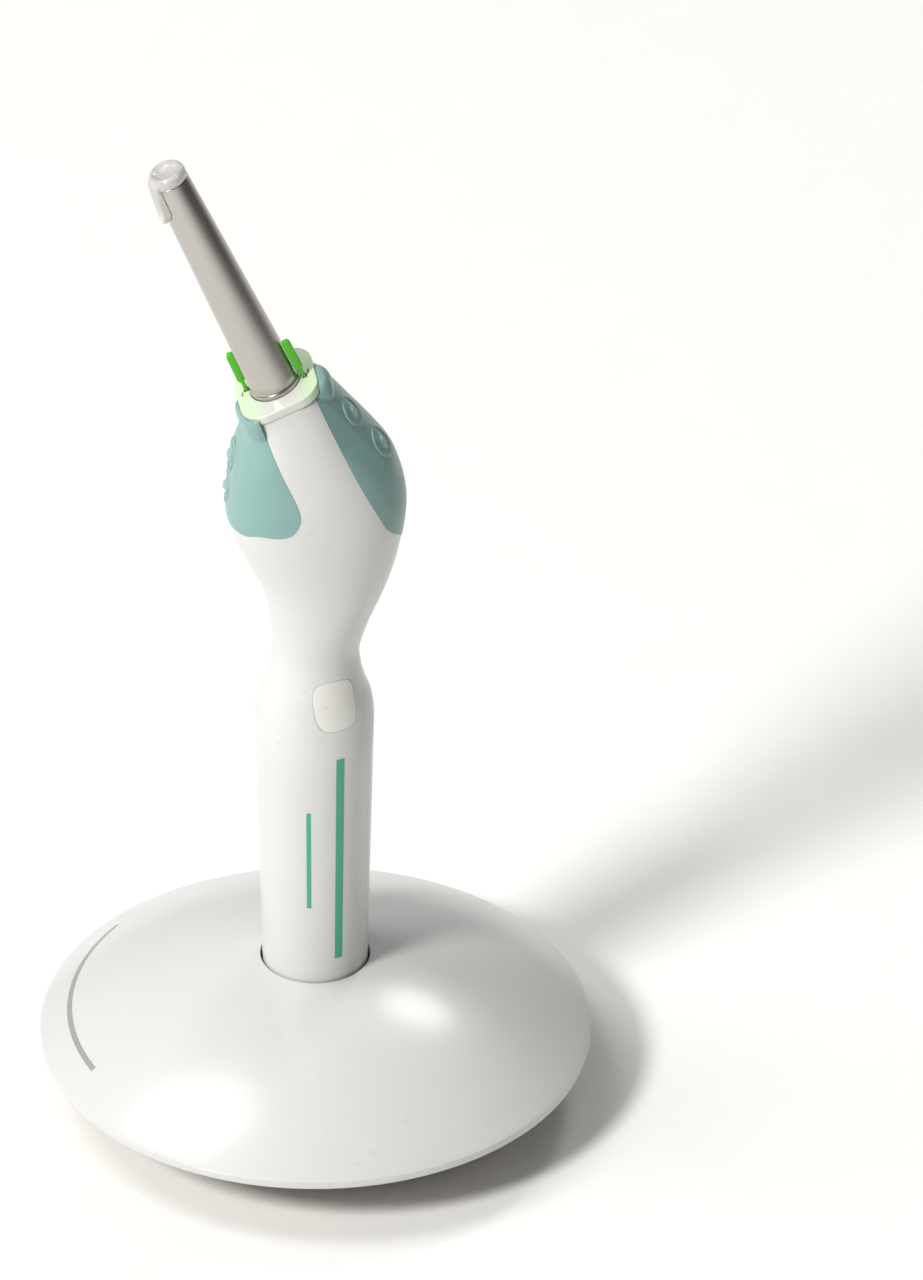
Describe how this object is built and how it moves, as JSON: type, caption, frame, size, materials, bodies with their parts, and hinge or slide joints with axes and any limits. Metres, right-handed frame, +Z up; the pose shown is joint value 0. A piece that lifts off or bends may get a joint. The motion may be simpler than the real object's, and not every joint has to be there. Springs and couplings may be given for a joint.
{
  "type": "dental curing light",
  "caption": "Cordless pen-style dental curing light with a leaning tapered probe, standing upright in a round domed charging base.",
  "frame": {"origin": "on the table under the middle of the round base", "axes": "+Z up along the pen's handle; the head and probe lean towards -X; the status window faces -Y"},
  "size_m": [0.11, 0.11, 0.2237],
  "materials": {
    "white_abs": "high-gloss moulded ABS, warm white",
    "grey_abs": "fine-textured moulded ABS, light grey",
    "cup_nylon": "satin moulded nylon, off-white",
    "ballast_steel": "turned mild steel, zinc plated",
    "circuit_board": "glass-epoxy board with solder mask, satin",
    "insulator": "black moulded nylon, matt",
    "gold_contact": "gold-plated brass, smooth",
    "spring_steel": "drawn spring wire, bright",
    "screw_steel": "zinc-plated steel screws",
    "foot_rubber": "moulded rubber, matt",
    "seal_rubber": "nitrile O-ring, satin black",
    "cell_wrap": "shrink-wrapped steel can, satin blue",
    "nickel_plate": "nickel strip, satin",
    "clear_window": "frosted polycarbonate, translucent",
    "teal_silicone": "liquid silicone rubber, silky matt teal",
    "button_silicone": "liquid silicone rubber, satin teal",
    "core_aluminium": "turned aluminium, bright",
    "collar_white": "glossy moulded polycarbonate, faint green white",
    "clip_green": "moulded acetal, bright green, satin",
    "probe_metal": "satin turned and anodised aluminium, warm grey",
    "copper_rod": "drawn copper rod",
    "led_ceramic": "white ceramic carrier with a yellow phosphor-free chip",
    "lens_glass": "polished optical glass",
    "clear_shield": "translucent moulded polypropylene, smooth",
    "wire_jacket": "silicone-jacketed wire, satin"
  },
  "bodies": {
    "base": {"base_dome": "white_abs", "base_tray": "grey_abs", "socket_cup": "cup_nylon", "ballast_ring": "ballast_steel", "charger_board": "circuit_board", "contact_block": "insulator", "pin_spring_left": "spring_steel", "pin_spring_right": "spring_steel", "power_inlet": "insulator", "rubber_feet": "foot_rubber", "base_screws": "screw_steel"},
    "pen": {"handle_sleeve": "white_abs", "end_cap": "cup_nylon", "charge_contacts": "gold_contact", "cell_spring": "spring_steel", "battery_cell": "cell_wrap", "cell_plate": "nickel_plate", "sleeve_seal": "seal_rubber", "head_housing": "white_abs", "status_window": "clear_window", "status_board": "circuit_board", "status_lamp": "led_ceramic", "grip_left": "teal_silicone", "grip_right": "teal_silicone", "switches_left": "nickel_plate", "switches_right": "nickel_plate", "switch_board_left": "circuit_board", "switch_board_right": "circuit_board", "control_board": "circuit_board", "head_core": "core_aluminium", "collar_ring": "collar_white", "probe_tube": "probe_metal", "heat_rod": "copper_rod", "led_module": "led_ceramic", "led_leads": "wire_jacket", "tip_lens": "lens_glass", "probe_seal": "seal_rubber"},
    "pin_left": {"pin_left": "gold_contact"},
    "pin_right": {"pin_right": "gold_contact"},
    "tip_cap": {"tip_cap": "clear_shield"},
    "clip_left": {"clip_left": "clip_green"},
    "clip_right": {"clip_right": "clip_green"},
    "button_left_upper": {"button_left_upper": "button_silicone"},
    "button_left_lower": {"button_left_lower": "button_silicone"},
    "button_right_upper": {"button_right_upper": "button_silicone"},
    "button_right_lower": {"button_right_lower": "button_silicone"}
  },
  "joints": [
    {"name": "pen_lift", "type": "slide", "parent": "base", "child": "pen", "axis": [0, 0, 1], "range_m": [0, 0.06]},
    {"name": "cap_pull", "type": "slide", "parent": "pen", "child": "tip_cap", "axis": [-0.3827, 0, 0.9239], "range_m": [0, 0.016]},
    {"name": "clip_left_flex", "type": "hinge", "parent": "pen", "child": "clip_left", "pos_m": [-0.01285, 0.0019, 0.16646], "axis": [0, -1, 0], "range_deg": [0, 6], "stiffness_Nm_per_rad": 0.02},
    {"name": "pin_left_press", "type": "slide", "parent": "base", "child": "pin_left", "axis": [0, 0, -1], "range_m": [0, 0.0006], "stiffness_N_per_m": 200, "springref_m": -0.0003, "deforming": ["pin_spring_left"]},
    {"name": "button_left_upper_press", "type": "slide", "parent": "pen", "child": "button_left_upper", "axis": [0.9798, -0.16, -0.12], "range_m": [0, 0.0005], "stiffness_N_per_m": 600, "springref_m": -0.0002},
    {"name": "button_left_lower_press", "type": "slide", "parent": "pen", "child": "button_left_lower", "axis": [0.9798, -0.16, -0.12], "range_m": [0, 0.0005], "stiffness_N_per_m": 600, "springref_m": -0.0002},
    {"name": "clip_right_flex", "type": "hinge", "parent": "pen", "child": "clip_right", "pos_m": [-0.00185, -0.0019, 0.17102], "axis": [0, 1, 0], "range_deg": [0, 6], "stiffness_Nm_per_rad": 0.02},
    {"name": "pin_right_press", "type": "slide", "parent": "base", "child": "pin_right", "axis": [0, 0, -1], "range_m": [0, 0.0006], "stiffness_N_per_m": 200, "springref_m": -0.0003, "deforming": ["pin_spring_right"]},
    {"name": "button_right_upper_press", "type": "slide", "parent": "pen", "child": "button_right_upper", "axis": [-0.7783, 0.1896, -0.5987], "range_m": [0, 0.0005], "stiffness_N_per_m": 600, "springref_m": -0.0002},
    {"name": "button_right_lower_press", "type": "slide", "parent": "pen", "child": "button_right_lower", "axis": [-0.7783, 0.1896, -0.5987], "range_m": [0, 0.0005], "stiffness_N_per_m": 600, "springref_m": -0.0002}
  ]
}
